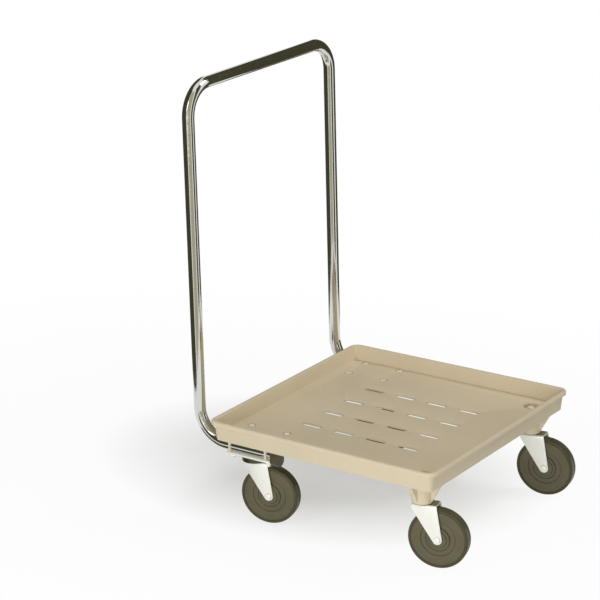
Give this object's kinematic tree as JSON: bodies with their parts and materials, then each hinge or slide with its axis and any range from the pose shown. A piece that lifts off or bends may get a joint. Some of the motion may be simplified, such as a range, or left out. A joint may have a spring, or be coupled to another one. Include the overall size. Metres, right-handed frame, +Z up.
{
  "type": "dish rack dolly",
  "caption": "Square moulded tray on swivel casters with a tall U-shaped tube push handle, for wheeling stacked dish racks.",
  "frame": {"origin": "on the floor under the centre of the dolly's bounding box", "axes": "+X away from the handle, +Y to the left of a person who pushes it, +Z up"},
  "size_m": [0.6432, 0.556, 0.9452],
  "materials": {
    "tray_plastic": "fine moulded texture, beige",
    "chrome_tube": "polished chrome plate",
    "vinyl": "soft vinyl, dark",
    "zinc": "bright zinc plate",
    "race_steel": "dark greased steel",
    "ball_steel": "polished ball steel",
    "bushing_bronze": "sintered bronze",
    "wheel_plastic": "moulded, olive grey",
    "wheel_rubber": "hard grey rubber"
  },
  "bodies": {
    "dolly": {"tray": "tray_plastic", "push_handle": "chrome_tube", "tube_cap_left": "vinyl", "tube_cap_right": "vinyl", "rear_left_plate": "zinc", "rear_left_plate_bolts": "zinc", "rear_left_plate_nuts": "zinc", "rear_left_kingpin": "zinc", "rear_right_plate": "zinc", "rear_right_plate_bolts": "zinc", "rear_right_plate_nuts": "zinc", "rear_right_kingpin": "zinc", "front_left_stem": "zinc", "front_left_stem_washer": "zinc", "front_left_stem_nut": "zinc", "front_right_stem": "zinc", "front_right_stem_washer": "zinc", "front_right_stem_nut": "zinc", "rear_left_race_cup": "race_steel", "rear_right_race_cup": "race_steel", "front_left_race_cup": "race_steel", "front_right_race_cup": "race_steel"},
    "rear_left_swivel": {"rear_left_race_balls": "ball_steel", "rear_left_lower_race": "race_steel", "rear_left_fork": "zinc", "rear_left_axle_bolt": "zinc", "rear_left_axle_nut": "zinc", "rear_left_axle_sleeve": "race_steel"},
    "rear_left_wheel": {"rear_left_wheel_bushing": "bushing_bronze", "rear_left_wheel_core": "wheel_plastic", "rear_left_tyre": "wheel_rubber"},
    "rear_right_swivel": {"rear_right_race_balls": "ball_steel", "rear_right_lower_race": "race_steel", "rear_right_fork": "zinc", "rear_right_axle_bolt": "zinc", "rear_right_axle_nut": "zinc", "rear_right_axle_sleeve": "race_steel"},
    "rear_right_wheel": {"rear_right_wheel_bushing": "bushing_bronze", "rear_right_wheel_core": "wheel_plastic", "rear_right_tyre": "wheel_rubber"},
    "front_left_swivel": {"front_left_race_balls": "ball_steel", "front_left_lower_race": "race_steel", "front_left_fork": "zinc", "front_left_axle_bolt": "zinc", "front_left_axle_nut": "zinc", "front_left_axle_sleeve": "race_steel"},
    "front_left_wheel": {"front_left_wheel_bushing": "bushing_bronze", "front_left_wheel_core": "wheel_plastic", "front_left_tyre": "wheel_rubber"},
    "front_right_swivel": {"front_right_race_balls": "ball_steel", "front_right_lower_race": "race_steel", "front_right_fork": "zinc", "front_right_axle_bolt": "zinc", "front_right_axle_nut": "zinc", "front_right_axle_sleeve": "race_steel"},
    "front_right_wheel": {"front_right_wheel_bushing": "bushing_bronze", "front_right_wheel_core": "wheel_plastic", "front_right_tyre": "wheel_rubber"}
  },
  "joints": [
    {"name": "rear_left_swivel_turn", "type": "hinge", "parent": "dolly", "child": "rear_left_swivel", "pos_m": [-0.19437, 0.2185, 0.1375], "axis": [0, 0, 1], "continuous": true},
    {"name": "rear_left_wheel_spin", "type": "hinge", "parent": "rear_left_swivel", "child": "rear_left_wheel", "pos_m": [-0.15984, 0.22584, 0.0635], "axis": [-0.2079, 0.9781, 0], "continuous": true},
    {"name": "rear_right_swivel_turn", "type": "hinge", "parent": "dolly", "child": "rear_right_swivel", "pos_m": [-0.19437, -0.2185, 0.1375], "axis": [0, 0, 1], "continuous": true},
    {"name": "rear_right_wheel_spin", "type": "hinge", "parent": "rear_right_swivel", "child": "rear_right_wheel", "pos_m": [-0.16004, -0.21026, 0.0635], "axis": [-0.2334, 0.9724, 0], "continuous": true},
    {"name": "front_left_swivel_turn", "type": "hinge", "parent": "dolly", "child": "front_left_swivel", "pos_m": [0.22273, 0.2185, 0.1375], "axis": [0, 0, 1], "continuous": true},
    {"name": "front_left_wheel_spin", "type": "hinge", "parent": "front_left_swivel", "child": "front_left_wheel", "pos_m": [0.25744, 0.22493, 0.0635], "axis": [-0.1822, 0.9833, 0], "continuous": true},
    {"name": "front_right_swivel_turn", "type": "hinge", "parent": "dolly", "child": "front_right_swivel", "pos_m": [0.22273, -0.2185, 0.1375], "axis": [0, 0, 1], "continuous": true},
    {"name": "front_right_wheel_spin", "type": "hinge", "parent": "front_right_swivel", "child": "front_right_wheel", "pos_m": [0.25691, -0.20966, 0.0635], "axis": [-0.2504, 0.9681, 0], "continuous": true}
  ]
}
